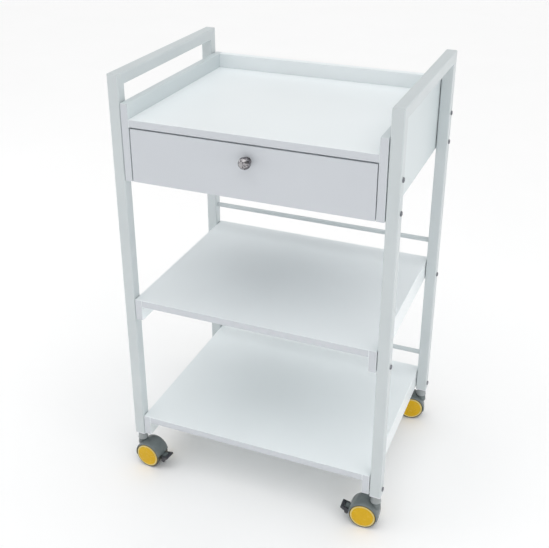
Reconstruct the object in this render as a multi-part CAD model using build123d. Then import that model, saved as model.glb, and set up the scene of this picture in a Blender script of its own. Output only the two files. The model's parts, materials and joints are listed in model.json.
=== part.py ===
"""Rolling salon trolley: two square-tube side frames carry a drawer box with a tray top and two open shelves.

Millimetres, +Z up. The front, where the drawer opens, faces -Y. The finished model is moved so that its
origin is the bottom centre of its bounding box, with the wheels standing on Z = 0.
"""
from build123d import *
from math import cos, radians, sin
import os

# Overall sizes, over the square tubes
frame_width = 484
frame_depth = 356
overall_height = 770
caster_height = 70

# Square tube of the side frames
tube = 20
tube_wall = 1.2
tube_corner_radius = 2.2

# Boards
board = 13
board_edge_radius = 0.8
side_gap = 1.2
tray_below_rail_top = 72
lip_height = 26
drawer_box_height = 133
middle_shelf_height = 364
lower_shelf_above_post_foot = 41
apron_height = 40

# Round bars between the rear posts
bar_radius = 4.5
bar_above_shelf = 41.5
bar_in_post = 8

# Frame bolts, with their washers and threaded inserts
bolt_radius = 3
bolt_hole_radius = 3.2
bolt_head_radius = 4.1
bolt_head_height = 2.3
bolt_head_edge_radius = 1.4
hex_socket_width = 3.2
hex_socket_depth = 1.3
bolt_grip_in_board = 9
insert_radius = 4.5
insert_length = 10.5
washer_radius = 5.5
upper_bolt_below_panel_top = 64
lower_bolt_above_panel_bottom = 15
shelf_bolt_below_surface = 29

# Dowels and cam fittings that join the boards
dowel_radius = 4
dowel_in_side = 8
dowel_in_board = 20
cam_radius = 6
cam_depth = 10
cam_slot_half_length = 4
cam_slot_half_width = 0.8
cam_slot_depth = 2
cam_to_joint = 24
cam_bolt_radius = 2.5
cam_bolt_in_side = 8
fitting_inset = 60
cam_from_dowel = 32
back_dowel_inset = 25

# Drawer
drawer_side_reveal = 1.6
drawer_top_reveal = 2.5
drawer_side_thickness = 11
drawer_side_height = 64
drawer_side_lift = 12
drawer_rear_clearance = 20
drawer_bottom_thickness = 3
drawer_bottom_groove = 5
drawer_bottom_lift = 8
drawer_dowel_radius = 3
drawer_dowel_in_front = 8
drawer_dowel_in_side = 20
drawer_dowel_in_back = 12
drawer_dowel_inset = 16
drawer_back_dowel_lift = 8

# Three-member telescopic runners
runner_thickness = 10
runner_height = 27
runner_end_clearance = 10
runner_front_clearance = 1
runner_steel = 1.2
runner_track_gap = 0.6
runner_lift = 44
runner_screw_radius = 1.9
runner_screw_length = 9
runner_screw_head_radius = 3
runner_screw_head_height = 1
runner_screw_places = (0.12, 0.5, 0.88)

# Drawer knob
knob_radius = 10.4
knob_reach = 19
knob_widest_reach = 11
knob_foot_radius = 7
knob_foot_thickness = 1.5
knob_neck_radius = 4.8
knob_neck_reach = 3.6
knob_above_drawer_middle = 21
knob_screw_radius = 2
knob_screw_head_radius = 4
knob_screw_head_height = 2
knob_screw_grip = 9

# Casters, in their own frame: the swivel axis is x = 0 and the wheels trail towards +X
wheel_radius = 25
wheel_width = 10.5
wheel_edge_radius = 2
wheel_side_clearance = 0.5
caster_trail = 19
web_width = 11
axle_boss_radius = 9
hood_clearance = 0.8
hood_wall = 1.6
hood_edge_radius = 1
hood_half_width = 17
hood_drop = 6
swivel_boss_radius = 8
swivel_boss_root_radius = 9.5
swivel_boss_root_share = 0.6
stem_radius = 4
stem_bore_depth = 34
stem_collar_radius = 7.5
stem_collar_height = 1.5
plug_flange = 2.5
plug_depth = 7
axle_radius = 3
running_clearance = 0.05
swivel_face_gap = 0.3
cap_border = 2.5
cap_depth = 1.6
cap_dome = 0.8
cap_edge_radius = 0.6
cap_rim_width = 2.2
cap_rim_relief = 0.5

# Brake pedals of the front casters
pedal_pivot_beyond_wheel = 6.5
pedal_pivot_drop = 1
pedal_opening_start = 15
pedal_arm_half_height = 4
pedal_lug_radius = 4.6
pedal_half_width = 9.5
pedal_cheek_radius = 4.2
pedal_nose_radius = 3.8
pedal_nose_offset = 4
pedal_nose_angle = -100
pedal_toe_length = 10.5
pedal_toe_rise = 5
pedal_toe_thickness = 4
pedal_toe_edge_radius = 1.8
pedal_pin_radius = 1.8
pedal_side_gap = 0.5
pedal_shell_gap = 2.5

# Directions in which the casters stand, degrees from +X about +Z
caster_headings = {"front_left": -6, "front_right": 183, "rear_left": 30, "rear_right": 193}
braked_casters = ("front_left", "front_right")

# Levels and positions that follow from the sizes above
left, right = -1, 1
front, rear = -1, 1
post_foot_z = caster_height
rail_underside = overall_height - tube
tray_surface_height = overall_height - tray_below_rail_top
lower_shelf_height = caster_height + lower_shelf_above_post_foot
panel_top = tray_surface_height + lip_height
panel_bottom = panel_top - drawer_box_height
post_x = frame_width / 2 - tube / 2
post_y = frame_depth / 2 - tube / 2
post_inner_x = frame_width / 2 - tube
side_outer_x = post_inner_x - side_gap
side_inner_x = side_outer_x - board
front_y = -frame_depth / 2
rear_y = frame_depth / 2
upper_bolt_level = panel_top - upper_bolt_below_panel_top
lower_bolt_level = panel_bottom + lower_bolt_above_panel_bottom
box_bolt_levels = (upper_bolt_level, lower_bolt_level)
shelf_levels = {"middle": middle_shelf_height, "lower": lower_shelf_height}
shelf_bolt_levels = tuple(level - shelf_bolt_below_surface for level in shelf_levels.values())
post_bolt_levels = box_bolt_levels + shelf_bolt_levels
bar_levels = {name: level + bar_above_shelf for name, level in shelf_levels.items()}

# Joints between a board's end and the side it meets, for the tray, the back panel and the shelves
fitting_rows = (front_y + fitting_inset, rear_y - fitting_inset)


def block(x_span, y_span, z_span):
    """A box between two limits on each axis."""
    spans = (x_span, y_span, z_span)
    sizes = [high - low for low, high in spans]
    middles = [(high + low) / 2 for low, high in spans]
    return Pos(*middles) * Box(*sizes)


def rod(start, direction, length, radius):
    """A round rod that starts at a point and runs along a direction."""
    plane = Plane(origin=start, z_dir=direction)
    return plane.location * Cylinder(radius, length, align=(Align.CENTER, Align.CENTER, Align.MIN))


def board_between_sides(y_span, z_span):
    """A board from side to side. Its ends stay square, so that it meets the sides without a groove."""
    plain = block((-side_inner_x, side_inner_x), y_span, z_span)
    return fillet(plain.edges().filter_by(Axis.X), board_edge_radius)


def without(solid, cutters):
    """A solid with a list of cutters taken out of it."""
    for cutter in cutters:
        solid = solid - cutter
    return solid


def square_tube(plane, length):
    """Square tube with rounded corners, from a plane along its normal."""
    inner_radius = tube_corner_radius - tube_wall
    bore = tube - 2 * tube_wall
    outside = extrude(plane * RectangleRounded(tube, tube, tube_corner_radius), length)
    inside = extrude(plane * RectangleRounded(bore, bore, inner_radius), length)
    return outside - inside


def corner_wedge(end, below):
    """The half of a frame's top corner that lies above or below its mitre."""
    outer_y = end * frame_depth / 2
    inner_y = outer_y - end * tube
    square_corner = (outer_y, rail_underside) if below else (inner_y, overall_height)
    corners = [(outer_y, overall_height), (inner_y, rail_underside), square_corner]
    triangle = make_face(Polyline(*[(0, y, z) for y, z in corners], close=True))
    return extrude(triangle, frame_width, dir=(1, 0, 0), both=True)


def rear_bar(level):
    """Round bar held between the rear posts: its ends stand in holes in their inner walls."""
    half_length = post_inner_x + bar_in_post
    return rod((-half_length, post_y, level), (1, 0, 0), 2 * half_length, bar_radius)


def frame_post(side, end):
    """One upright of a side frame, mitred at its top and drilled for the bolts and the rear bars."""
    plane = Plane(origin=(side * post_x, end * post_y, post_foot_z), z_dir=(0, 0, 1))
    post = square_tube(plane, overall_height - post_foot_z)
    post = post - corner_wedge(end, below=False)
    holes = [
        rod((side * post_x - tube, end * post_y, level), (1, 0, 0), 2 * tube, bolt_hole_radius)
        for level in post_bolt_levels
    ]
    if end == rear:
        holes += [rear_bar(level) for level in bar_levels.values()]
    return without(post, holes)


def handle_rail(side):
    """The top tube of a side frame, mitred into both posts."""
    start = (side * post_x, front_y, overall_height - tube / 2)
    rail = square_tube(Plane(origin=start, x_dir=(1, 0, 0), z_dir=(0, 1, 0)), frame_depth)
    return without(rail, [corner_wedge(end, below=True) for end in (front, rear)])


def frame_joints():
    """Side, end and height of every bolt through a post."""
    return [
        (side, end, level)
        for side in (left, right)
        for end in (front, rear)
        for level in post_bolt_levels
    ]


def frame_bolt(side, end, level):
    """Button-head bolt from a post's outer face into the board's insert."""
    face_x = side * frame_width / 2
    inward = (-side, 0, 0)
    outward = (side, 0, 0)
    centre = (face_x, end * post_y, level)
    head = rod(centre, outward, bolt_head_height, bolt_head_radius)
    rim = head.faces().sort_by(Axis.X)[-1 if side == right else 0].edges()
    head = fillet(rim, bolt_head_edge_radius)
    shank = rod(centre, inward, tube + side_gap + bolt_grip_in_board, bolt_radius)
    socket_floor_x = face_x + side * (bolt_head_height - hex_socket_depth)
    socket_plane = Plane(origin=(socket_floor_x, end * post_y, level), z_dir=outward)
    hexagon = RegularPolygon(hex_socket_width / 2, 6, major_radius=False)
    socket = extrude(socket_plane * hexagon, bolt_head_height)
    return (head + shank) - socket


def spacer_washer(side, end, level):
    """Washer that keeps a board off the post."""
    start = (side * side_outer_x, end * post_y, level)
    return rod(start, (side, 0, 0), side_gap, washer_radius) - rod(start, (side, 0, 0), side_gap, bolt_radius)


def insert_nut(side, end, level):
    """Threaded insert in a board's outer face."""
    start = (side * side_outer_x, end * post_y, level)
    inward = (-side, 0, 0)
    return rod(start, inward, insert_length, insert_radius) - rod(start, inward, insert_length, bolt_radius)


def insert_holes(side, levels):
    """Holes for the threaded inserts in a board that stands against two posts."""
    return [
        rod((side * side_outer_x, end * post_y, level), (-side, 0, 0), insert_length, insert_radius)
        for end in (front, rear)
        for level in levels
    ]


def dowel(side, y, z):
    """Wooden dowel across the joint between a side and the end of the board that it carries."""
    start = (side * (side_inner_x + dowel_in_side), y, z)
    return rod(start, (-side, 0, 0), dowel_in_side + dowel_in_board, dowel_radius)


def cam_bolt(side, y, z):
    """Bolt that stands out of a side and is gripped by the cam lock in the board."""
    start = (side * (side_inner_x + cam_bolt_in_side), y, z)
    return rod(start, (-side, 0, 0), cam_bolt_in_side + cam_to_joint, cam_bolt_radius)


def cam_place(side, y, surface):
    """The hole for a cam lock, from the underside of a board."""
    start = (side * (side_inner_x - cam_to_joint), y, surface - board)
    return rod(start, (0, 0, 1), cam_depth, cam_radius)


def cam_lock(side, y, surface):
    """Cam lock with a cross slot, drilled for its bolt."""
    x = side * (side_inner_x - cam_to_joint)
    underside = surface - board
    slots = [
        block((x - half_x, x + half_x), (y - half_y, y + half_y), (underside, underside + cam_slot_depth))
        for half_x, half_y in (
            (cam_slot_half_length, cam_slot_half_width),
            (cam_slot_half_width, cam_slot_half_length),
        )
    ]
    return without(cam_place(side, y, surface), slots + [cam_bolt(side, y, surface - board / 2)])


def level_fittings(surface):
    """Rows of dowels and cam bolts for a horizontal board whose top is at a level."""
    middle = surface - board / 2
    dowels = [(y, middle) for y in fitting_rows]
    cams = [(y - end * cam_from_dowel, middle) for y, end in zip(fitting_rows, (front, rear))]
    return dowels, cams


level_boards = (tray_surface_height, middle_shelf_height, lower_shelf_height)
back_panel_y = rear_y - board / 2
back_dowel_levels = (panel_bottom + back_dowel_inset, panel_top - back_dowel_inset)


def side_cutters(side, levels, with_back):
    """Blind holes for dowels and cam bolts in a vertical side board."""
    cutters = []
    for surface in levels:
        dowels, cams = level_fittings(surface)
        cutters += [dowel(side, y, z) for y, z in dowels]
        cutters += [cam_bolt(side, y, z) for y, z in cams]
    if with_back:
        cutters += [dowel(side, back_panel_y, z) for z in back_dowel_levels]
    return cutters


def level_board(surface, y_span):
    """A horizontal board between two sides, with its dowel, cam bolt and cam lock holes."""
    plain = board_between_sides(y_span, (surface - board, surface))
    cutters = []
    for side in (left, right):
        cutters += side_cutters(side, (surface,), with_back=False)
        cutters += [cam_place(side, y, surface) for y, _ in level_fittings(surface)[1]]
    return without(plain, cutters)


def side_board(side, bottom, top, bolt_levels, levels, with_back=False):
    """A vertical board inboard of two posts, drilled for its inserts and fittings.

    The edges of its inner face stay square, because other boards meet them flush.
    """
    plain = block(sorted((side * side_inner_x, side * side_outer_x)), (front_y, rear_y), (bottom, top))
    eased_from = side_inner_x + board_edge_radius
    eased_edges = plain.edges().filter_by(lambda edge: side * edge.center().X > eased_from)
    plain = fillet(eased_edges, board_edge_radius)
    return without(plain, insert_holes(side, bolt_levels) + side_cutters(side, levels, with_back))


def side_panel(side):
    """A side of the drawer box, which also carries a runner."""
    panel = side_board(side, panel_bottom, panel_top, box_bolt_levels, (tray_surface_height,), with_back=True)
    return without(panel, runner_screws(side, of_drawer=False))


def back_panel():
    """The board that closes the drawer box behind, raised to the height of the side lips."""
    plain = board_between_sides((rear_y - board, rear_y), (panel_bottom, panel_top))
    return without(plain, [dowel(side, back_panel_y, z) for side in (left, right) for z in back_dowel_levels])


# Drawer and runners

drawer_front_top = tray_surface_height - board - drawer_top_reveal
drawer_front_half_width = side_inner_x - drawer_side_reveal
drawer_outer_x = side_inner_x - runner_thickness
drawer_inner_x = drawer_outer_x - drawer_side_thickness
drawer_side_bottom = panel_bottom + drawer_side_lift
drawer_side_top = drawer_side_bottom + drawer_side_height
drawer_back_of_front_y = front_y + board
drawer_end_y = rear_y - board - drawer_rear_clearance
drawer_back_y = drawer_end_y - drawer_side_thickness
drawer_floor = drawer_side_bottom + drawer_bottom_lift
knob_level = (drawer_front_top + panel_bottom) / 2 + knob_above_drawer_middle
runner_level = panel_bottom + runner_lift
runner_start_y = drawer_back_of_front_y + runner_front_clearance
runner_length = drawer_end_y - drawer_back_of_front_y - runner_end_clearance
runner_middle_inset = runner_steel + runner_screw_head_height + 2 * runner_track_gap
drawer_dowel_levels = (drawer_side_bottom + drawer_dowel_inset, drawer_side_top - drawer_dowel_inset)


def drawer_bottom():
    """Thin bottom that sits in a groove on all four sides."""
    half_width = drawer_inner_x + drawer_bottom_groove
    y_span = (drawer_back_of_front_y - drawer_bottom_groove, drawer_back_y + drawer_bottom_groove)
    return block((-half_width, half_width), y_span, (drawer_floor, drawer_floor + drawer_bottom_thickness))


def drawer_dowels():
    """Dowels that hold the drawer's front on its sides."""
    middle_x = (drawer_outer_x + drawer_inner_x) / 2
    start_y = drawer_back_of_front_y - drawer_dowel_in_front
    length = drawer_dowel_in_front + drawer_dowel_in_side
    return [
        rod((side * middle_x, start_y, level), (0, 1, 0), length, drawer_dowel_radius)
        for side in (left, right)
        for level in drawer_dowel_levels
    ]


def drawer_back_dowels():
    """Dowels that hold the drawer's back between its sides."""
    y = drawer_end_y - drawer_side_thickness / 2
    start_x = drawer_inner_x + drawer_dowel_in_front
    length = drawer_dowel_in_front + drawer_dowel_in_back
    lower_level, upper_level = drawer_dowel_levels
    return [
        rod((side * start_x, y, level), (-side, 0, 0), length, drawer_dowel_radius)
        for side in (left, right)
        for level in (lower_level + drawer_back_dowel_lift, upper_level)
    ]


def knob_screw():
    """Screw through the drawer's front into the knob."""
    start = (0, drawer_back_of_front_y, knob_level)
    head = rod(start, (0, 1, 0), knob_screw_head_height, knob_screw_head_radius)
    return head + rod(start, (0, -1, 0), board + knob_screw_grip, knob_screw_radius)


def drawer_knob():
    """Round knob: a foot, a short waist and a nearly spherical head, turned about its axis."""
    foot_rim = (knob_foot_radius, knob_foot_thickness)
    neck = (knob_neck_radius, knob_neck_reach)
    widest = (knob_radius, knob_widest_reach)
    tip = (0, knob_reach)
    with BuildPart() as turned:
        with BuildSketch(Plane.XY):
            with BuildLine():
                Line((0, 0), (knob_foot_radius, 0))
                Line((knob_foot_radius, 0), foot_rim)
                Line(foot_rim, neck)
                Spline(neck, widest, tangents=((1, 0.4), (0, 1)))
                Spline(widest, tip, tangents=((0, 1), (-1, 0)))
                Line(tip, (0, 0))
            make_face()
        revolve(axis=Axis.Y)
    knob = Pos(0, front_y, knob_level) * Rot(180, 0, 0) * turned.part
    return knob - knob_screw()


def drawer_front():
    """Inset front between the side panels, grooved for the bottom."""
    x_span = (-drawer_front_half_width, drawer_front_half_width)
    plain = block(x_span, (front_y, drawer_back_of_front_y), (panel_bottom, drawer_front_top))
    eased = fillet(plain.edges(), board_edge_radius)
    return without(eased, [drawer_bottom(), knob_screw()] + drawer_dowels())


def drawer_side(side):
    """One side of the drawer, grooved for the bottom."""
    x_span = sorted((side * drawer_inner_x, side * drawer_outer_x))
    y_span = (drawer_back_of_front_y, drawer_end_y)
    plain = block(x_span, y_span, (drawer_side_bottom, drawer_side_top))
    fixings = drawer_dowels() + drawer_back_dowels() + runner_screws(side, of_drawer=True)
    return without(plain, [drawer_bottom()] + fixings)


def drawer_back():
    """The drawer's back, between its sides."""
    x_span = (-drawer_inner_x, drawer_inner_x)
    plain = block(x_span, (drawer_back_y, drawer_end_y), (drawer_side_bottom, drawer_side_top))
    return without(plain, [drawer_bottom()] + drawer_back_dowels())


def channel(side, web_x, flange_x, half_height):
    """A steel channel along Y: a web at one distance from the centre and flanges that reach another."""
    inward = 1 if flange_x > web_x else -1
    hollow_x = web_x + inward * runner_steel
    y_span = (runner_start_y, runner_start_y + runner_length)
    outside = block(sorted((side * web_x, side * flange_x)), y_span, (-half_height, half_height))
    inner_half = half_height - runner_steel
    hollow = block(sorted((side * hollow_x, side * (flange_x + inward))), y_span, (-inner_half, inner_half))
    return Pos(0, 0, runner_level) * (outside - hollow)


def runner_cabinet_member(side):
    """Outer member, screwed to the side panel."""
    member = channel(side, side_inner_x, side_inner_x - runner_thickness + runner_steel, runner_height / 2)
    return without(member, runner_screws(side, of_drawer=False))


def runner_middle_member(side):
    """Middle member, which travels half as far as the drawer."""
    half_height = runner_height / 2 - runner_steel - runner_track_gap
    return channel(side, side_inner_x - runner_middle_inset, drawer_outer_x + runner_steel, half_height)


def runner_drawer_member(side):
    """Inner member, screwed to the drawer's side."""
    half_height = runner_height / 2 - 2 * (runner_steel + runner_track_gap)
    flange_x = side_inner_x - runner_middle_inset - runner_steel - runner_track_gap
    member = channel(side, drawer_outer_x, flange_x, half_height)
    return without(member, runner_screws(side, of_drawer=True))


def runner_screws(side, of_drawer):
    """Screws of one runner member: their flat heads lie against the member's web."""
    web_face_x = drawer_outer_x + runner_steel if of_drawer else side_inner_x - runner_steel
    towards_wood = -side if of_drawer else side
    screws = []
    for share in runner_screw_places:
        start = (side * web_face_x, runner_start_y + share * runner_length, runner_level)
        head = rod(start, (-towards_wood, 0, 0), runner_screw_head_height, runner_screw_head_radius)
        screws.append(head + rod(start, (towards_wood, 0, 0), runner_screw_length, runner_screw_radius))
    return screws


# Casters, built in their own frame and then turned and moved under their posts

axle_z = wheel_radius
wheel_inner_y = web_width / 2 + wheel_side_clearance
wheel_outer_y = wheel_inner_y + wheel_width
axle_half_length = wheel_outer_y - cap_depth
cap_radius = wheel_radius - cap_border
hood_inner_radius = wheel_radius + hood_clearance
hood_outer_radius = hood_inner_radius + hood_wall
boss_top = post_foot_z - plug_flange - stem_collar_height - swivel_face_gap
pedal_pivot = (caster_trail + wheel_radius + pedal_pivot_beyond_wheel, axle_z - pedal_pivot_drop)


def place_under_post(shape, name):
    """Move a shape from the origin to a post's axis."""
    side = left if name.endswith("left") else right
    end = front if name.startswith("front") else rear
    return Pos(side * post_x, end * post_y, 0) * shape


def place_caster(shape, name):
    """Turn a caster's shape to its heading and put it under its post."""
    return place_under_post(Rot(0, 0, caster_headings[name]) * shape, name)


def cross_disc(x, z, radius, half_width):
    """A disc across the caster, about an axis along Y."""
    return rod((x, -half_width, z), (0, 1, 0), 2 * half_width, radius)


def space_around(x_span, z_span):
    """A cutter right across a caster."""
    return block(x_span, (-2 * hood_half_width, 2 * hood_half_width), z_span)


def caster_body(braked):
    """Hood over both wheels, web with the axle bore, swivel boss and, on a braked caster, the pedal lug."""
    reach = hood_outer_radius + hood_wall
    hood = cross_disc(caster_trail, axle_z, hood_outer_radius, hood_half_width)
    hood = fillet(hood.edges().filter_by(GeomType.CIRCLE), hood_edge_radius)
    boss_root = axle_z + hood_outer_radius * swivel_boss_root_share
    boss = Pos(0, 0, boss_root) * Cone(
        swivel_boss_root_radius,
        swivel_boss_radius,
        boss_top - boss_root,
        align=(Align.CENTER, Align.CENTER, Align.MIN),
    )
    hood_bottom = axle_z - hood_drop
    below_hood = space_around((caster_trail - reach, caster_trail + reach), (-reach, hood_bottom))
    body = hood + boss - below_hood
    if braked:
        opening_top = pedal_pivot[1] + pedal_cheek_radius + pedal_shell_gap
        opening_x = (caster_trail + pedal_opening_start, caster_trail + reach)
        body = body - space_around(opening_x, (0, opening_top))
    for side in (left, right):
        start = (caster_trail, side * web_width / 2, axle_z)
        body = body - rod(start, (0, side, 0), 2 * hood_half_width, hood_inner_radius)
    web = cross_disc(caster_trail, axle_z, hood_inner_radius, web_width / 2) - below_hood
    body = body + web + cross_disc(caster_trail, axle_z, axle_boss_radius, web_width / 2)
    if braked:
        lug_x, lug_z = pedal_pivot
        arm_z = (lug_z - pedal_arm_half_height, lug_z + pedal_arm_half_height)
        arm = block((caster_trail + pedal_opening_start, lug_x), (-web_width / 2, web_width / 2), arm_z)
        body = body + arm + cross_disc(lug_x, lug_z, pedal_lug_radius, web_width / 2)
        body = body - cross_disc(lug_x, lug_z, pedal_pin_radius + running_clearance, web_width)
    body = body - cross_disc(caster_trail, axle_z, axle_radius + running_clearance, web_width)
    stem_bore = rod((0, 0, boss_top), (0, 0, -1), stem_bore_depth, stem_radius + running_clearance)
    return body - stem_bore


def caster_wheels():
    """The two wheels of a caster, recessed for their caps."""
    wheels = []
    for side in (left, right):
        wheel = rod((caster_trail, side * wheel_inner_y, axle_z), (0, side, 0), wheel_width, wheel_radius)
        wheel = fillet(wheel.edges().filter_by(GeomType.CIRCLE), wheel_edge_radius)
        recess = rod((caster_trail, side * axle_half_length, axle_z), (0, side, 0), wheel_width, cap_radius)
        wheels.append(wheel - recess - caster_axle())
    return wheels


def caster_axle():
    """The axle, pressed into both wheels and free in the web."""
    return cross_disc(caster_trail, axle_z, axle_radius, axle_half_length)


def hub_caps():
    """Round caps with a raised rim, one in each wheel's outer face."""
    caps = []
    for side in (left, right):
        start = (caster_trail, side * axle_half_length, axle_z)
        thickness = cap_depth + cap_dome
        cap = rod(start, (0, side, 0), thickness, cap_radius)
        outer_rim = cap.faces().sort_by(Axis.Y)[-1 if side == right else 0].edges()
        cap = fillet(outer_rim, cap_edge_radius)
        dish_start = (caster_trail, side * (axle_half_length + thickness - cap_rim_relief), axle_z)
        cap = cap - rod(dish_start, (0, side, 0), thickness, cap_radius - cap_rim_width)
        caps.append(cap)
    return caps


def caster_stem():
    """Threaded stem with a hexagonal collar: it screws into the post's plug and carries the swivel."""
    collar_bottom = boss_top + swivel_face_gap
    hexagon = Plane.XY.offset(collar_bottom) * RegularPolygon(stem_collar_radius, 6)
    collar = extrude(hexagon, stem_collar_height)
    thread_top = post_foot_z + plug_depth
    lower_end = boss_top - stem_bore_depth + 1
    return collar + rod((0, 0, lower_end), (0, 0, 1), thread_top - lower_end, stem_radius)


def post_plug():
    """Square plug in a post's foot, with a flange under the tube and a threaded hole for the stem."""
    bore = tube - 2 * tube_wall
    flange_plane = Plane.XY.offset(post_foot_z - plug_flange)
    flange = extrude(flange_plane * RectangleRounded(tube, tube, tube_corner_radius), plug_flange)
    core_section = RectangleRounded(bore, bore, tube_corner_radius - tube_wall)
    core = extrude(Plane.XY.offset(post_foot_z) * core_section, plug_depth)
    return (flange + core) - rod((0, 0, post_foot_z - plug_flange), (0, 0, 1), 2 * plug_depth, stem_radius)


def brake_pedal():
    """Foot pedal: cheeks beside the lug, a nose towards the wheels, a toe plate and the moulded pivot pin."""
    pivot_x, pivot_z = pedal_pivot
    angle = radians(pedal_nose_angle)
    nose_x = pivot_x + pedal_nose_offset * cos(angle)
    nose_z = pivot_z + pedal_nose_offset * sin(angle)
    toe_x = pivot_x + pedal_toe_length
    toe_z = pivot_z + pedal_toe_rise
    toe_outline = Polyline(
        (pivot_x, 0, pivot_z + pedal_cheek_radius),
        (toe_x, 0, toe_z + pedal_toe_thickness / 2),
        (toe_x, 0, toe_z - pedal_toe_thickness / 2),
        (pivot_x, 0, pivot_z - pedal_cheek_radius),
        close=True,
    )
    toe = extrude(make_face(toe_outline), pedal_half_width, dir=(0, 1, 0), both=True)
    tip_edges = toe.edges().filter_by(Axis.Y).sort_by(Axis.X)[-2:]
    toe = fillet(tip_edges, pedal_toe_edge_radius)
    pedal = toe + cross_disc(pivot_x, pivot_z, pedal_cheek_radius, pedal_half_width)
    pedal = pedal + cross_disc(nose_x, nose_z, pedal_nose_radius, pedal_half_width)
    slot_half_width = web_width / 2 + pedal_side_gap
    slot_end = pivot_x + pedal_lug_radius + pedal_side_gap
    clear = 3 * pedal_cheek_radius
    slot_z = (pivot_z - clear, pivot_z + clear)
    pedal = pedal - block((pivot_x - clear, slot_end), (-slot_half_width, slot_half_width), slot_z)
    return pedal + cross_disc(pivot_x, pivot_z, pedal_pin_radius, pedal_half_width)


def build_nodes():
    """Every piece of the trolley by name: a solid, or a list of solids for identical fasteners."""
    nodes = {}
    ends = {"front": front, "rear": rear}
    sides = {"left": left, "right": right}
    for side_name, side in sides.items():
        for end_name, end in ends.items():
            nodes[f"post_{end_name}_{side_name}"] = frame_post(side, end)
        nodes[f"handle_rail_{side_name}"] = handle_rail(side)
        nodes[f"side_panel_{side_name}"] = side_panel(side)
        for shelf, level in shelf_levels.items():
            nodes[f"{shelf}_shelf_apron_{side_name}"] = side_board(
                side, level - apron_height, level, (level - shelf_bolt_below_surface,), (level,)
            )
        nodes[f"runner_cabinet_{side_name}"] = runner_cabinet_member(side)
        nodes[f"runner_middle_{side_name}"] = runner_middle_member(side)
        nodes[f"runner_drawer_{side_name}"] = runner_drawer_member(side)
        nodes[f"drawer_side_{side_name}"] = drawer_side(side)
    for shelf, level in shelf_levels.items():
        nodes[f"{shelf}_shelf_board"] = level_board(level, (front_y, rear_y))
        nodes[f"{shelf}_rear_bar"] = rear_bar(bar_levels[shelf])
    nodes["tray_board"] = level_board(tray_surface_height, (front_y, rear_y - board))
    nodes["back_panel"] = back_panel()
    joints = frame_joints()
    nodes["frame_bolts"] = [frame_bolt(*joint) for joint in joints]
    nodes["spacer_washers"] = [spacer_washer(*joint) for joint in joints]
    nodes["insert_nuts"] = [insert_nut(*joint) for joint in joints]
    dowels = [dowel(side, back_panel_y, z) for side in (left, right) for z in back_dowel_levels]
    cam_bolts = []
    cam_locks = []
    for surface in level_boards:
        dowel_row, cam_row = level_fittings(surface)
        for side in (left, right):
            dowels += [dowel(side, y, z) for y, z in dowel_row]
            cam_bolts += [cam_bolt(side, y, z) for y, z in cam_row]
            cam_locks += [cam_lock(side, y, surface) for y, _ in cam_row]
    nodes["board_dowels"] = dowels
    nodes["cam_bolts"] = cam_bolts
    nodes["cam_locks"] = cam_locks
    for of_drawer, name in ((False, "runner_cabinet_screws"), (True, "runner_drawer_screws")):
        nodes[name] = runner_screws(left, of_drawer) + runner_screws(right, of_drawer)
    nodes["drawer_front"] = drawer_front()
    nodes["drawer_back"] = drawer_back()
    nodes["drawer_bottom"] = drawer_bottom()
    nodes["drawer_dowels"] = drawer_dowels() + drawer_back_dowels()
    nodes["drawer_knob"] = drawer_knob()
    nodes["drawer_knob_screw"] = knob_screw()
    nodes["post_foot_plugs"] = [place_under_post(post_plug(), name) for name in caster_headings]
    nodes["caster_stems"] = [place_caster(caster_stem(), name) for name in caster_headings]
    for name in caster_headings:
        nodes[f"caster_body_{name}"] = place_caster(caster_body(name in braked_casters), name)
        nodes[f"caster_axle_{name}"] = place_caster(caster_axle(), name)
        nodes[f"caster_wheels_{name}"] = [place_caster(wheel, name) for wheel in caster_wheels()]
        nodes[f"hub_caps_{name}"] = [place_caster(cap, name) for cap in hub_caps()]
        if name in braked_casters:
            nodes[f"brake_pedal_{name}"] = place_caster(brake_pedal(), name)
    return nodes


def as_compound(node):
    """A node as one compound of its separate solids."""
    shapes = node if isinstance(node, list) else [node]
    return Compound(children=[solid for shape in shapes for solid in shape.solids()])


compounds = {name: as_compound(node) for name, node in build_nodes().items()}
every_solid = [solid for compound in compounds.values() for solid in compound.solids()]
whole = Compound(children=every_solid).bounding_box()
origin_shift = (-(whole.min.X + whole.max.X) / 2, -(whole.min.Y + whole.max.Y) / 2, 0)

os.makedirs("parts", exist_ok=True)
for node_name, compound in compounds.items():
    export_step(compound.moved(Location(origin_shift)), f"parts/{node_name}.step")
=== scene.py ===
"""The looks of the rolling salon trolley: materials, fine pieces, camera and light on the CAD frame."""
import json
import math
import random

import bpy
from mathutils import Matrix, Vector


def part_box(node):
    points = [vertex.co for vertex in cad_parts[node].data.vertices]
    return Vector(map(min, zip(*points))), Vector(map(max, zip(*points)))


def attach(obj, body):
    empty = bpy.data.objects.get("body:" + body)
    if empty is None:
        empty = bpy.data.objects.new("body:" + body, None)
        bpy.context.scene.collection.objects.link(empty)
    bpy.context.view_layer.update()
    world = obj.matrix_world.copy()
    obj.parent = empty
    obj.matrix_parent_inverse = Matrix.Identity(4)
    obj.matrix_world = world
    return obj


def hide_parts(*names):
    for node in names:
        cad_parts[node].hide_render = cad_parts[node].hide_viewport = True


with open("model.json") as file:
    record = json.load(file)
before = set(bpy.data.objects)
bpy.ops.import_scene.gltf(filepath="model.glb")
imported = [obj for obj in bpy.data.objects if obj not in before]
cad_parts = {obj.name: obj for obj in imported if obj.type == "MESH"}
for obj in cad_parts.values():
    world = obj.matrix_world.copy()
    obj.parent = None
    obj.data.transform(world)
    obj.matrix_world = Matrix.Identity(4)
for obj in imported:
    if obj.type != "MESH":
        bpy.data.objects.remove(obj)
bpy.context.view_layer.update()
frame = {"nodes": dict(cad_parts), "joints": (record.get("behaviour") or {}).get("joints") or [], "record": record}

nodes = frame["nodes"]
joints = {joint["name"]: joint for joint in frame["joints"]}
scene = bpy.context.scene

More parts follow.
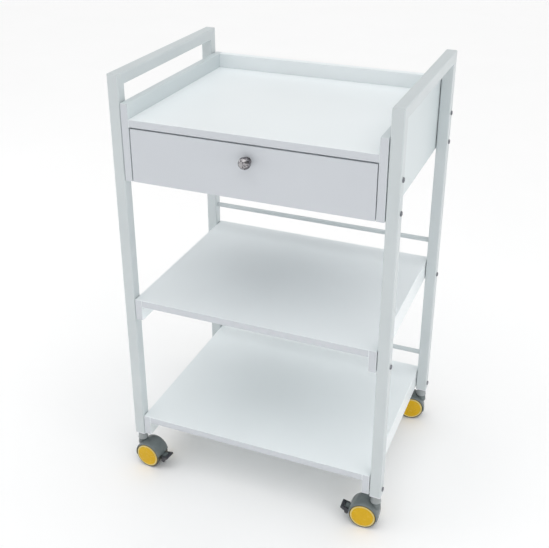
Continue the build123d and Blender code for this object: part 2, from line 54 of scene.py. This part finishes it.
# ---------------------------------------------------------------- materials


class Finish:
    """A node material being built on one Principled shader.

    Constants go straight on the shader's sockets, patterns are added with node().
    """

    # The Mix node's colour sockets, which share their names with its other kinds of socket.
    COLOUR_A, COLOUR_B, COLOUR_RESULT = 6, 7, 2

    def __init__(self, name, **constants):
        self.material = bpy.data.materials.new(name)
        self.material.use_nodes = True
        self.tree = self.material.node_tree
        self.shader = self.tree.nodes["Principled BSDF"]
        self.place = self.node("ShaderNodeTexCoord").outputs["Object"]
        for socket, value in constants.items():
            self.shader.inputs[socket.replace("_", " ")].default_value = value

    def node(self, kind, settings=None, **inputs):
        """Adds a node. Inputs go by socket name, _ for a space, and are values or other nodes' outputs."""
        made = self.tree.nodes.new(kind)
        for setting, value in (settings or {}).items():
            setattr(made, setting, value)
        for socket, value in inputs.items():
            self.feed(made.inputs[socket.replace("_", " ")], value)
        return made

    def feed(self, socket, value):
        """Links a socket to another node's output, or sets its value."""
        if isinstance(value, bpy.types.NodeSocket):
            self.tree.links.new(value, socket)
        else:
            socket.default_value = value

    def stretched(self, x, y, z):
        """Object coordinates scaled along each axis: a small number draws a pattern out along that axis."""
        return self.node("ShaderNodeMapping", Vector=self.place, Scale=(x, y, z)).outputs["Vector"]

    def noise(self, scale, detail=3.0, place=None):
        """A noise value; scale is in patches per metre."""
        made = self.node(
            "ShaderNodeTexNoise",
            Vector=place or self.place,
            Scale=scale,
            Detail=detail,
            Roughness=0.55,
        )
        return made.outputs["Fac"]

    def spread(self, value, low, high, start=0.3, end=0.7):
        """Maps a noise value, which lies mostly between start and end, onto low to high."""
        made = self.node("ShaderNodeMapRange", Value=value)
        for socket, number in (("From Min", start), ("From Max", end), ("To Min", low), ("To Max", high)):
            made.inputs[socket].default_value = number
        return made.outputs["Result"]

    def blend(self, factor, first, second):
        """Two colours mixed by a value from 0 to 1."""
        made = self.node("ShaderNodeMix", {"data_type": "RGBA"})
        self.feed(made.inputs["Factor"], factor)
        made.inputs[self.COLOUR_A].default_value = (*first, 1)
        made.inputs[self.COLOUR_B].default_value = (*second, 1)
        return made.outputs[self.COLOUR_RESULT]

    def colour(self, value):
        """The shader's base colour."""
        self.feed(self.shader.inputs["Base Color"], value)

    def rough(self, value):
        """The shader's roughness."""
        self.feed(self.shader.inputs["Roughness"], value)

    def relief(self, height, depth):
        """Bump from a height of 0 to 1, depth metres deep."""
        bump = self.node("ShaderNodeBump", Height=height, Distance=depth, Strength=1.0)
        self.tree.links.new(bump.outputs["Normal"], self.shader.inputs["Normal"])


def powder_coat():
    """Satin white powder coat on steel: fine orange peel, slight drift of tone and gloss."""
    made = Finish("powder_coat_white", Metallic=0.0, IOR=1.5)
    made.colour(made.blend(made.spread(made.noise(9), 0, 1), (0.570, 0.617, 0.630), (0.605, 0.652, 0.665)))
    made.rough(made.spread(made.noise(26, detail=1), 0.36, 0.42, start=0, end=1))
    made.relief(made.noise(230, detail=2), depth=0.000018)
    return made.material


def painted_board(name, dark, light):
    """White lacquered board: faint roller stipple, slight drift of tone and gloss."""
    made = Finish(name, IOR=1.5)
    made.colour(made.blend(made.spread(made.noise(7, detail=1), 0, 1, start=0.15, end=0.85), dark, light))
    made.rough(made.spread(made.noise(15, detail=1), 0.29, 0.32, start=0, end=1))
    made.relief(made.noise(140, detail=2), depth=0.000015)
    return made.material


def drawer_melamine():
    """White melamine inside the drawer, with a faint pressed wood pore running front to back."""
    made = Finish("drawer_melamine_white", IOR=1.5)
    pores = made.noise(1.0, place=made.stretched(900, 60, 900))
    made.colour(made.blend(made.spread(pores, 0, 1), (0.74, 0.77, 0.80), (0.80, 0.83, 0.86)))
    made.rough(made.spread(made.noise(40), 0.42, 0.55))
    made.relief(pores, depth=0.00006)
    return made.material


def dark_zinc():
    """Dark zinc plating on the bolts, rubbed brighter in patches."""
    made = Finish("bolt_dark_zinc", Metallic=0.9)
    rubbed = made.spread(made.noise(420, detail=4), 0, 1, start=0.5, end=0.75)
    made.colour(made.blend(rubbed, (0.20, 0.21, 0.23), (0.36, 0.37, 0.39)))
    made.rough(made.spread(rubbed, 0.5, 0.3, start=0, end=1))
    made.relief(made.noise(1500), depth=0.00002)
    return made.material


def turned_metal(name, dark, light, metallic, roughness):
    """Turned or cast small metal parts: fine tool marks across Z, mottled gloss."""
    made = Finish(name, Metallic=metallic)
    marks = made.noise(1.0, detail=2, place=made.stretched(300, 300, 4200))
    made.colour(made.blend(made.spread(marks, 0, 1), dark, light))
    made.rough(made.spread(made.noise(260, detail=4), *roughness))
    made.relief(marks, depth=0.00003)
    return made.material


def dowel_beech():
    """Beech dowels: fine bands of grain across Z, since every dowel lies along X or Y."""
    made = Finish("dowel_beech")
    grain = made.noise(1.0, detail=4, place=made.stretched(260, 260, 1500))
    made.colour(made.blend(made.spread(grain, 0, 1), (0.48, 0.31, 0.16), (0.68, 0.49, 0.29)))
    made.rough(made.spread(grain, 0.55, 0.75))
    made.relief(grain, depth=0.00008)
    return made.material


def drawn_zinc_steel():
    """Zinc-plated runner steel: drawing lines along the runner and the plating's soft clouds."""
    made = Finish("runner_zinc_steel", Metallic=1.0)
    lines = made.noise(1.0, place=made.stretched(2600, 9, 2600))
    clouds = made.spread(made.noise(60, detail=4), 0, 1)
    made.colour(made.blend(clouds, (0.56, 0.58, 0.61), (0.70, 0.71, 0.73)))
    made.rough(made.spread(lines, 0.26, 0.42))
    made.relief(lines, depth=0.00002)
    return made.material


def dark_chrome(name, dark, light):
    """Polished chrome of the knob, with faint wiping marks in the gloss."""
    made = Finish(name, Metallic=1.0, Coat_Weight=0.3, Coat_Roughness=0.04)
    made.colour(made.blend(made.spread(made.noise(180), 0, 1), dark, light))
    made.rough(made.spread(made.noise(420, detail=5), 0.06, 0.14))
    made.relief(made.noise(700), depth=0.000006)
    return made.material


def moulded(name, dark, light, roughness, grain=1400, depth=0.00003, **constants):
    """Injection-moulded plastic: fine eroded grain, slight flow marks in tone and gloss."""
    made = Finish(name, IOR=1.49, **constants)
    made.colour(made.blend(made.spread(made.noise(70), 0, 1), dark, light))
    made.rough(made.spread(made.noise(240, detail=4), *roughness))
    made.relief(made.noise(grain, detail=2), depth)
    return made.material


finishes = {
    "white_steel": powder_coat(),
    "white_board": painted_board("lacquered_board_white", (0.84, 0.885, 0.900), (0.87, 0.915, 0.930)),
    "drawer_board": drawer_melamine(),
    "bolt_steel": dark_zinc(),
    "washer_nylon": moulded(
        "washer_nylon_natural", (0.50, 0.51, 0.52), (0.60, 0.61, 0.62), roughness=(0.45, 0.6)
    ),
    "insert_brass": turned_metal(
        "insert_brass", (0.58, 0.41, 0.16), (0.76, 0.58, 0.28), metallic=1.0, roughness=(0.25, 0.4)
    ),
    "dowel_wood": dowel_beech(),
    "cam_zinc": turned_metal(
        "cam_zinc", (0.46, 0.47, 0.48), (0.62, 0.63, 0.64), metallic=0.9, roughness=(0.38, 0.55)
    ),
    "runner_steel": drawn_zinc_steel(),
    "dark_chrome": dark_chrome("knob_dark_chrome", (0.12, 0.115, 0.125), (0.18, 0.17, 0.18)),
    "white_plastic": moulded(
        "plug_plastic_pale", (0.66, 0.68, 0.72), (0.72, 0.74, 0.78), roughness=(0.4, 0.52)
    ),
    "stem_steel": turned_metal(
        "stem_zinc_steel", (0.44, 0.45, 0.46), (0.60, 0.61, 0.62), metallic=1.0, roughness=(0.28, 0.42)
    ),
    "grey_hood": moulded(
        "hood_plastic_grey",
        (0.125, 0.150, 0.152),
        (0.16, 0.186, 0.188),
        roughness=(0.12, 0.2),
        grain=420,
        depth=0.000008,
    ),
    "wheel_tread": moulded(
        "tread_plastic_dark", (0.055, 0.055, 0.04), (0.08, 0.078, 0.06), roughness=(0.42, 0.58)
    ),
    "amber_cap": moulded(
        "cap_plastic_amber",
        (0.66, 0.39, 0.004),
        (0.72, 0.44, 0.008),
        roughness=(0.2, 0.3),
        grain=900,
        depth=0.00001,
        Specular_IOR_Level=0.3,
    ),
    "black_pedal": moulded(
        "pedal_plastic_black", (0.028, 0.030, 0.038), (0.045, 0.047, 0.058), roughness=(0.3, 0.42)
    ),
}

# The front paint: the board white darkened as painted shade on faces that look to the front.
front_shade_finish = painted_board("lacquered_white_painted_front_shade", (0.590, 0.618, 0.655), (0.620, 0.648, 0.685))
# The side paint: the board white darkened as painted shade on the side panels.
side_shade_finish = painted_board("lacquered_white_painted_side_shade", (0.630, 0.690, 0.707), (0.660, 0.720, 0.737))
# Brighter chrome for some of the knob's facets: painted highlights that stand in for their reflections.
facet_highlight_finish = dark_chrome("knob_chrome_painted_highlight", (0.34, 0.33, 0.34), (0.42, 0.41, 0.42))
# The paler amber on the caps' rim: a painted highlight on the rim's rounded crest.
rim_highlight_finish = moulded(
    "cap_plastic_rim_painted_highlight",
    (0.66, 0.56, 0.20),
    (0.72, 0.62, 0.26),
    roughness=(0.22, 0.3),
    grain=900,
    depth=0.00001,
)
swivel_finish = moulded(
    "swivel_plastic_pale_grey", (0.30, 0.325, 0.33), (0.35, 0.375, 0.38), roughness=(0.28, 0.38)
)

for part in frame["record"]["subparts"]:
    mesh = nodes[part["node"]].data
    mesh.materials.clear()
    mesh.materials.append(finishes[part["material_slot"]])
# The drawer front takes the front paint, darkened as painted shade.
nodes["drawer_front"].data.materials[0] = front_shade_finish
# Both side panels take the side paint, darkened as painted shade.
for side_node in ("side_panel_left", "side_panel_right"):
    nodes[side_node].data.materials[0] = side_shade_finish

# ---------------------------------------------------------------- fine pieces

MM = 0.001  # metres
POLE_RADIUS = 1e-7  # metres; a ring smaller than this is a single vertex
ROUND_STEPS = 72  # steps round the shapes of a caster's body
WEB_HALF_WIDTH = 5.5 * MM  # half the wall between a caster's wheels
HOOD_DROP = 6.0 * MM  # how far the hood and the web reach below the axle
HOOD_LIFT = 2.4 * MM  # the hood's crown above the wheels


def add_piece(name, vertices, faces, materials, face_materials, body, smooth_to=35):
    """A mesh piece on a body. Edges sharper than smooth_to degrees stay crisp; 0 leaves every face flat."""
    mesh = bpy.data.meshes.new(name)
    mesh.from_pydata(vertices, [], faces)
    for material in materials:
        mesh.materials.append(material)
    mesh.polygons.foreach_set("material_index", face_materials)
    mesh.polygons.foreach_set("use_smooth", [smooth_to > 0] * len(faces))
    mesh.validate()
    mesh.update()
    if smooth_to > 0:
        mesh.set_sharp_from_angle(angle=math.radians(smooth_to))
    piece = bpy.data.objects.new(name, mesh)
    scene.collection.objects.link(piece)
    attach(piece, body)
    return piece


def axis_frame(axis):
    """An axis as a unit vector, and two more at right angles to it and to each other."""
    axis = Vector(axis).normalized()
    nearly_upright = 0.9
    helper = Vector((0, 0, 1)) if abs(axis.z) < nearly_upright else Vector((1, 0, 0))
    across = axis.cross(helper).normalized()
    return axis, across, axis.cross(across).normalized()


def ring_faces(first, second, steps, twist):
    """The faces between two rings of vertex numbers. A ring of one vertex is a pole."""
    faces = []
    for step in range(steps):
        following = (step + 1) % steps
        if len(first) == 1:
            faces.append((first[0], second[following], second[step]))
        elif len(second) == 1:
            faces.append((first[step], first[following], second[0]))
        elif twist:
            faces.append((first[step], first[following], second[step]))
            faces.append((first[following], second[following], second[step]))
        else:
            faces.append((first[step], first[following], second[following], second[step]))
    return faces


def turned(origin, axis, profile, steps=96, twist=0.0):
    """A surface of revolution from (radius, height, material) points: vertices, faces, face materials.

    twist turns each ring by that share of a step against the one before, with triangles between the two.
    """
    axis, across, up = axis_frame(axis)
    origin = Vector(origin)
    vertices, faces, face_materials, rings = [], [], [], []
    for ring_number, (radius, height, _) in enumerate(profile):
        if radius < POLE_RADIUS:
            rings.append([len(vertices)])
            vertices.append(origin + axis * height)
            continue
        rings.append(list(range(len(vertices), len(vertices) + steps)))
        for step in range(steps):
            angle = 2 * math.pi * (step + twist * ring_number) / steps
            spoke = across * math.cos(angle) + up * math.sin(angle)
            vertices.append(origin + axis * height + spoke * radius)
    for first, second, (_, _, material) in zip(rings, rings[1:], profile):
        made = ring_faces(first, second, steps, twist)
        faces += made
        face_materials += [material] * len(made)
    return vertices, faces, face_materials


def joined(*meshes):
    """Several (vertices, faces, face materials) as one."""
    vertices, faces, face_materials = [], [], []
    for more_vertices, more_faces, more_materials in meshes:
        start = len(vertices)
        vertices += more_vertices
        faces += [tuple(index + start for index in face) for face in more_faces]
        face_materials += more_materials
    return vertices, faces, face_materials


def plate(outline, origin, outward, across, half_width):
    """A closed outline of (along, up) points, extruded to both sides of its origin."""
    count = len(outline)
    vertices = [
        origin + outward * along + across * (side * half_width) + Vector((0, 0, up))
        for side in (-1, 1)
        for along, up in outline
    ]
    faces = [(i, (i + 1) % count, (i + 1) % count + count, i + count) for i in range(count)]
    faces += [tuple(range(count - 1, -1, -1)), tuple(range(count, 2 * count))]
    return vertices, faces, [0] * len(faces)


def swept(section, centre, outward, across, start, end):
    """A closed section of (aside, radius) points, swept about the across axis from start to end degrees."""
    count, steps = len(section), ROUND_STEPS
    vertices, faces = [], []
    for step in range(steps + 1):
        angle = math.radians(start + (end - start) * step / steps)
        spoke = outward * math.cos(angle) + Vector((0, 0, 1)) * math.sin(angle)
        vertices += [centre + across * aside + spoke * radius for aside, radius in section]
    for ring in range(0, steps * count, count):
        following = ring + count
        for point in range(count):
            beside = (point + 1) % count
            faces.append((ring + point, ring + beside, following + beside, following + point))
    faces += [tuple(range(count)), tuple(reversed(range(steps * count, (steps + 1) * count)))]
    return vertices, faces, [0] * len(faces)


def bow(middle, radius, start, end, steps):
    """Points of a circular arc from start to end degrees."""
    angles = [math.radians(start + (end - start) * step / steps) for step in range(steps + 1)]
    return [(middle[0] + radius * math.cos(angle), middle[1] + radius * math.sin(angle)) for angle in angles]


def reach_about(node, origin, axis):
    """A node's largest radius about an axis, and its least and greatest distance along it from the origin."""
    axis, origin = Vector(axis).normalized(), Vector(origin)
    offsets = [vertex.co - origin for vertex in nodes[node].data.vertices]
    along = [offset.dot(axis) for offset in offsets]
    radius = max((offset - axis * distance).length for offset, distance in zip(offsets, along))
    return radius, min(abs(distance) for distance in along), max(abs(distance) for distance in along)


def hub_discs(name):
    """Both glossy caps of a caster: a shallow amber dome inside a raised rim, whose paler paint is a painted
    highlight.
    """
    spin = joints[f"wheel_spin_{name}"]
    radius, inner, outer = reach_about(f"hub_caps_{name}", spin["pos_m"], spin["axis"])
    # The pale paint on the rim's crest is a painted highlight.
    amber, pale = 0, 1
    shape = [  # share of the radius, millimetres from the outer face, paint
        (0.00, -0.20, amber),
        (0.14, -0.21, amber),
        (0.16, -0.32, amber),
        (0.30, -0.34, amber),
        (0.62, -0.50, amber),
        (0.86, -0.78, amber),
        (0.88, -0.30, pale),
        (0.90, -0.06, pale),
        (0.925, 0.00, pale),
        (0.955, -0.06, pale),
        (0.975, -0.34, amber),
        (1.00, -0.90, amber),
    ]
    discs = []
    for side in (-1, 1):
        profile = [(share * radius, side * (outer + drop * MM), paint) for share, drop, paint in shape]
        profile.append((radius, side * inner, amber))
        discs.append(turned(spin["pos_m"], spin["axis"], profile))
    vertices, faces, paints = joined(*discs)
    materials = [finishes["amber_cap"], rim_highlight_finish]
    piece = add_piece(f"hub_discs_{name}", vertices, faces, materials, paints, f"wheels_{name}")
    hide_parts(f"hub_caps_{name}")


def treads(name):
    """Both wheels of a caster: rounded shoulders, a fine parting groove, a recessed inner face."""
    spin = joints[f"wheel_spin_{name}"]
    radius, inner, outer = reach_about(f"caster_wheels_{name}", spin["pos_m"], spin["axis"])
    cap_radius, seat, _ = reach_about(f"hub_caps_{name}", spin["pos_m"], spin["axis"])
    axle_radius = reach_about(f"caster_axle_{name}", spin["pos_m"], spin["axis"])[0]
    middle = (inner + outer) / 2
    hub_radius, rim_radius, recess, slope = 7.0 * MM, radius - 5.0 * MM, 1.6 * MM, 0.6 * MM
    shoulder_start, shoulder_end = 1.8 * MM, 2.0 * MM
    corner_drop, corner_inset = 0.5 * MM, 0.6 * MM
    groove_half, groove_floor, groove_depth = 0.7 * MM, 0.25 * MM, 0.35 * MM
    shape = [
        (axle_radius, inner),
        (hub_radius, inner),
        (hub_radius + slope, inner + recess),
        (rim_radius, inner + recess),
        (rim_radius + slope, inner),
        (radius - shoulder_start, inner),
        (radius - corner_drop, inner + corner_inset),
        (radius, inner + shoulder_end),
        (radius, middle - groove_half),
        (radius - groove_depth, middle - groove_floor),
        (radius - groove_depth, middle + groove_floor),
        (radius, middle + groove_half),
        (radius, outer - shoulder_end),
        (radius - corner_drop, outer - corner_inset),
        (radius - shoulder_start, outer),
        (cap_radius, outer),
        (cap_radius, seat),
        (axle_radius, seat),
    ]
    wheels = []
    for side in (-1, 1):
        profile = [(ring_radius, side * height, 0) for ring_radius, height in shape]
        wheels.append(turned(spin["pos_m"], spin["axis"], profile))
    vertices, faces, paints = joined(*wheels)
    materials = [finishes["wheel_tread"]]
    piece = add_piece(f"treads_{name}", vertices, faces, materials, paints, f"wheels_{name}")
    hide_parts(f"caster_wheels_{name}")


def swivel_cover(name):
    """Pale collar round a caster's swivel boss, with a soft lip at each end."""
    swivel = joints[f"swivel_{name}"]
    shape = [  # millimetres: radius, height from the top of the caster
        (6.4, -0.1),
        (7.6, 0.0),
        (8.3, -0.5),
        (8.45, -1.6),
        (8.6, -6.0),
        (9.0, -11.4),
        (9.5, -12.4),
        (9.4, -13.2),
        (8.4, -13.6),
    ]
    profile = [(radius * MM, height * MM, 0) for radius, height in shape]
    vertices, faces, paints = turned(swivel["pos_m"], (0, 0, 1), profile, steps=ROUND_STEPS)
    body = f"caster_{name}"
    add_piece(f"swivel_cover_{name}", vertices, faces, [swivel_finish], paints, body)


def pedal_ribs(name):
    """Three anti-slip ribs across a brake pedal's toe plate."""
    press = joints[f"brake_press_{name}"]
    pivot, across = Vector(press["pos_m"]), Vector(press["axis"]).normalized()
    outward = across.cross(Vector((0, 0, 1)))
    _, _, half_width = reach_about(f"brake_pedal_{name}", pivot, across)
    pedal = nodes[f"brake_pedal_{name}"].data
    toe_length = max((vertex.co - pivot).dot(outward) for vertex in pedal.vertices)
    toe_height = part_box(f"brake_pedal_{name}")[1].z - pivot.z
    outline = [(-0.7, -0.3), (-0.35, 0.35), (0.0, 0.5), (0.35, 0.35), (0.7, -0.3)]  # millimetres
    profile = [(along * MM, up * MM) for along, up in outline]
    rib_places = (0.42, 0.6, 0.78)  # shares of the toe's length
    slope_base, slope_gain = 0.6, 0.4  # the toe plate's rise, as shares of its height
    side_margin = 1.2 * MM
    ribs = []
    for share in rib_places:
        rise = toe_height * (slope_base + slope_gain * share)
        foot = pivot + outward * (share * toe_length) + Vector((0, 0, rise))
        ribs.append(plate(profile, foot, outward, across, half_width - side_margin))
    vertices, faces, paints = joined(*ribs)
    materials = [finishes["black_pedal"]]
    body = f"brake_{name}"
    add_piece(f"pedal_ribs_{name}", vertices, faces, materials, paints, body, smooth_to=60)


def hood_section(wheel_radius, half_width):
    """The hood's closed section as (aside, radius) points: crowned with rolled shoulders, then its inside."""
    crown, lip = wheel_radius + HOOD_LIFT, wheel_radius - 0.7 * MM
    roll, half_steps = 3.0, 12
    section = []
    for step in range(-half_steps, half_steps + 1):
        share = math.sin(math.pi / 2 * step / half_steps)
        rise = (1 - abs(share) ** roll) ** (1 / roll)
        section.append((share * half_width, lip + (crown - lip) * rise))
    # Shares of the half width, and millimetres from the wheels' radius.
    inside = [(0.98, -1.0), (0.93, 0.25), (0.86, 0.7), (0.4, 0.8)]
    section += [(share * half_width, wheel_radius + rise * MM) for share, rise in inside]
    section += [(-share * half_width, wheel_radius + rise * MM) for share, rise in reversed(inside)]
    return section


def hood(centre, outward, across, wheel_radius, half_width, braked):
    """The hood over both wheels. On a braked caster it starts higher, clear of the pedal."""
    dip = math.degrees(math.asin(HOOD_DROP / (wheel_radius + HOOD_LIFT)))
    above_pedal = 12.0  # degrees above level
    start = above_pedal if braked else -dip
    return swept(hood_section(wheel_radius, half_width), centre, outward, across, start, 180 + dip)


def web(centre, outward, across, wheel_radius):
    """The wall between the wheels: a little more than a half disc, with a round boss about the axle."""
    web_radius, boss_radius = wheel_radius + 1.0 * MM, 9.0 * MM
    dip = math.degrees(math.asin(HOOD_DROP / web_radius))
    root = math.degrees(math.asin(HOOD_DROP / boss_radius))
    outline = bow((0, 0), web_radius, -dip, 180 + dip, steps=48)
    outline += bow((0, 0), boss_radius, 180 + root, 360 - root, steps=12)
    return plate(outline, centre, outward, across, WEB_HALF_WIDTH)


def pedal_arm(centre, outward, across, press):
    """The arm from the web to the brake pedal's pivot, which ends in a round lug."""
    lug = Vector(press["pos_m"]) - centre
    lug_along, lug_radius, arm_half, arm_root = lug.dot(outward), 4.6 * MM, 4.0 * MM, 15 * MM
    turn = 180 - math.degrees(math.asin(arm_half / lug_radius))
    outline = bow((lug_along, lug.z), lug_radius, -turn, turn, steps=24)
    outline += [(arm_root, lug.z + arm_half), (arm_root, lug.z - arm_half)]
    return plate(outline, centre, outward, across, WEB_HALF_WIDTH)


def swivel_boss(pivot):
    """The round boss below a caster's swivel bearing."""
    shape = [  # millimetres: radius, height from the top of the caster
        (4.1, 0),
        (7.6, 0),
        (8.0, -0.4),
        (8.3, -9),
        (9.5, -24.3),
        (9.2, -25.8),
        (8.0, -26.8),
        (0, -27.1),
    ]
    profile = [(radius * MM, height * MM, 0) for radius, height in shape]
    return turned(pivot, (0, 0, 1), profile, steps=ROUND_STEPS)


def housing(name):
    """A caster's body: hood, web, swivel boss and, on a braked caster, the pedal's arm."""
    spin, swivel = joints[f"wheel_spin_{name}"], joints[f"swivel_{name}"]
    press = joints.get(f"brake_press_{name}")
    centre, pivot = Vector(spin["pos_m"]), Vector(swivel["pos_m"])
    outward = Vector((centre.x - pivot.x, centre.y - pivot.y, 0)).normalized()
    across = Vector(spin["axis"]).normalized()
    wheel_radius = reach_about(f"caster_wheels_{name}", centre, across)[0]
    cap_face = reach_about(f"hub_caps_{name}", centre, across)[2]
    cap_proud = 0.3 * MM
    shapes = [
        hood(centre, outward, across, wheel_radius, cap_face - cap_proud, braked=press is not None),
        web(centre, outward, across, wheel_radius),
    ]
    if press:
        shapes.append(pedal_arm(centre, outward, across, press))
    shapes.append(swivel_boss(pivot))
    vertices, faces, paints = joined(*shapes)
    materials = [finishes["grey_hood"]]
    piece = add_piece(f"housing_{name}", vertices, faces, materials, paints, f"caster_{name}")
    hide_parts(f"caster_body_{name}")


def painted_shade_band(node):
    """The paper edge band along a board's front edge, carrying painted shade: it takes the darker front paint, so
    the edge reads greyer than the board's faces.
    """
    low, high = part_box(node)
    proud, inset, soft = 0.25 * MM, 0.45 * MM, 0.2 * MM
    bottom, top = low.z + inset, high.z - inset
    outline = [
        (-soft, bottom),
        (proud - soft / 2, bottom),
        (proud, bottom + soft),
        (proud, top - soft),
        (proud - soft / 2, top),
        (-soft, top),
    ]
    middle = Vector(((low.x + high.x) / 2, low.y, 0))
    half_width = (high.x - low.x) / 2 - inset
    vertices, faces, paints = plate(outline, middle, Vector((0, -1, 0)), Vector((1, 0, 0)), half_width)
    # The band takes the front paint: painted shade on the front-facing edge.
    add_piece(f"painted_shade_band_{node}", vertices, faces, [front_shade_finish], paints, "frame")


def cut_knob():
    """The drawer's knob: a smooth foot and a head cut into flat facets, some of them painted brighter as painted
    highlights.
    """
    low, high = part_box("drawer_knob")
    origin, forward = ((low.x + high.x) / 2, high.y, (low.z + high.z) / 2), (0, -1, 0)
    radius, reach = (high.x - low.x) / 2, high.y - low.y
    # Both shapes are shares of the knob's radius and of its reach from the drawer's front.
    head_shape = [
        (0.0, 1.0),
        (0.56, 1.0),
        (0.87, 0.86),
        (1.0, 0.67),
        (0.985, 0.52),
        (0.74, 0.33),
        (0.44, 0.22),
    ]
    foot_shape = [
        (0.0, 0.0),
        (0.62, 0.0),
        (0.67, 0.02),
        (0.67, 0.06),
        (0.62, 0.085),
        (0.46, 0.12),
        (0.43, 0.24),
    ]
    head = [(share * radius, depth * reach, 0) for share, depth in head_shape]
    foot = [(share * radius, depth * reach, 0) for share, depth in foot_shape]
    facets, foot_steps, highlight_share, seed = 11, 64, 0.45, 7
    vertices, faces, _ = turned(origin, forward, head, steps=facets, twist=0.5)
    # Facets picked at random take the brighter chrome: painted highlights.
    highlight_picker = random.Random(seed)
    paints = [int(highlight_picker.random() < highlight_share) for _ in faces]
    chromes = [finishes["dark_chrome"], facet_highlight_finish]
    knob_head = add_piece(
        "knob_cut_head", vertices, faces, chromes, paints, "drawer", smooth_to=0
    )
    vertices, faces, paints = turned(origin, forward, foot, steps=foot_steps)
    add_piece("knob_foot", vertices, faces, [finishes["dark_chrome"]], paints, "drawer")
    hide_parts("drawer_knob")


for caster in ("front_left", "front_right", "rear_left", "rear_right"):
    hub_discs(caster)
    treads(caster)
    housing(caster)
    swivel_cover(caster)
for caster in ("front_left", "front_right"):
    pedal_ribs(caster)
for board in ("tray_board", "middle_shelf_board", "lower_shelf_board"):
    painted_shade_band(board)
for board in ("side_panel", "middle_shelf_apron", "lower_shelf_apron"):
    for side in ("left", "right"):
        painted_shade_band(f"{board}_{side}")
cut_knob()

# ---------------------------------------------------------------- studio


def place_camera():
    """The camera: from the front, a little right of centre, 25 degrees above level."""
    left_low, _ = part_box("post_front_left")
    _, right_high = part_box("post_rear_right")
    rail_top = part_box("handle_rail_left")[1].z
    middle = (left_low + right_high) / 2
    left_of_middle, below_rail = 0.0274, 0.2966
    target = Vector((middle.x - left_of_middle, middle.y, rail_top - below_rail))
    azimuth, elevation, distance = math.radians(22.12), math.radians(25.13), 1.585
    back = Vector(
        (
            math.sin(azimuth) * math.cos(elevation),
            -math.cos(azimuth) * math.cos(elevation),
            math.sin(elevation),
        )
    )
    data = bpy.data.cameras.new("camera")
    data.sensor_width = 36
    data.lens = 57.55
    data.shift_y = -0.0962
    camera = bpy.data.objects.new("camera", data)
    camera.location = target + back * distance
    camera.rotation_mode = "QUATERNION"
    camera.rotation_quaternion = (-back).to_track_quat("-Z", "Y")
    scene.collection.objects.link(camera)
    scene.camera = camera


def lay_floor():
    """A plain pale floor, far larger than the view."""
    half = 12
    corners = [(-half, -half, 0), (half, -half, 0), (half, half, 0), (-half, half, 0)]
    data = bpy.data.meshes.new("floor")
    data.from_pydata(corners, [], [(0, 1, 2, 3)])
    floor = bpy.data.objects.new("floor", data)
    scene.collection.objects.link(floor)
    made = Finish("floor_white")
    made.colour(made.blend(made.spread(made.noise(3), 0, 1), (0.965, 0.965, 0.965), (0.975, 0.975, 0.975)))
    made.rough(made.spread(made.noise(8), 0.85, 0.9))
    data.materials.append(made.material)


def aim(lamp, place, look_at):
    """Puts a lamp in the scene, turned towards a point."""
    lamp.location = place
    lamp.rotation_mode = "QUATERNION"
    lamp.rotation_quaternion = (Vector(look_at) - Vector(place)).to_track_quat("-Z", "Y")
    scene.collection.objects.link(lamp)


def soft_box(name, place, look_at, width, height, power):
    """A rectangular soft light; sizes in metres, power in watts."""
    data = bpy.data.lights.new(name, "AREA")
    data.shape = "RECTANGLE"
    data.size = width
    data.size_y = height
    data.energy = power
    aim(bpy.data.objects.new(name, data), place, look_at)


def broad_light(name, place, look_at, width, strength):
    """Even light from one direction, as soft as a ceiling: a sun lamp some degrees wide."""
    data = bpy.data.lights.new(name, "SUN")
    data.angle = math.radians(width)
    data.energy = strength
    aim(bpy.data.objects.new(name, data), place, look_at)


def surround(horizon, overhead):
    """White surroundings that fade from one brightness at the horizon to another overhead."""
    world = bpy.data.worlds.new("studio")
    world.use_nodes = True
    tree = world.node_tree
    background = tree.nodes["Background"]
    background.inputs["Color"].default_value = (1, 1, 1, 1)
    direction = tree.nodes.new("ShaderNodeTexCoord")
    parts = tree.nodes.new("ShaderNodeSeparateXYZ")
    fade = tree.nodes.new("ShaderNodeMapRange")
    fade.interpolation_type = "SMOOTHSTEP"
    low_slope, high_slope = 0.05, 0.55  # the view direction's Z where the fade starts and ends
    for socket, number in (
        ("From Min", low_slope),
        ("From Max", high_slope),
        ("To Min", horizon),
        ("To Max", overhead),
    ):
        fade.inputs[socket].default_value = number
    tree.links.new(direction.outputs["Generated"], parts.inputs["Vector"])
    tree.links.new(parts.outputs["Z"], fade.inputs["Value"])
    tree.links.new(fade.outputs["Result"], background.inputs["Strength"])
    scene.world = world


def light_studio():
    """White surroundings, a broad light overhead and a weak soft box on each side."""
    surround(horizon=0.96, overhead=0.27)
    broad_light("ceiling_light", place=(0.25, -0.1, 3.0), look_at=(0, 0, 0), width=90, strength=2.05)
    soft_box("right_box", place=(2.4, -0.9, 0.8), look_at=(0, 0, 0.3), width=1.8, height=1.2, power=8)
    soft_box("left_box", place=(-2.2, -0.8, 0.8), look_at=(0, 0, 0.3), width=1.8, height=1.2, power=7)
    scene.view_settings.view_transform = "Standard"
    scene.view_settings.look = "None"


place_camera()
lay_floor()
light_studio()
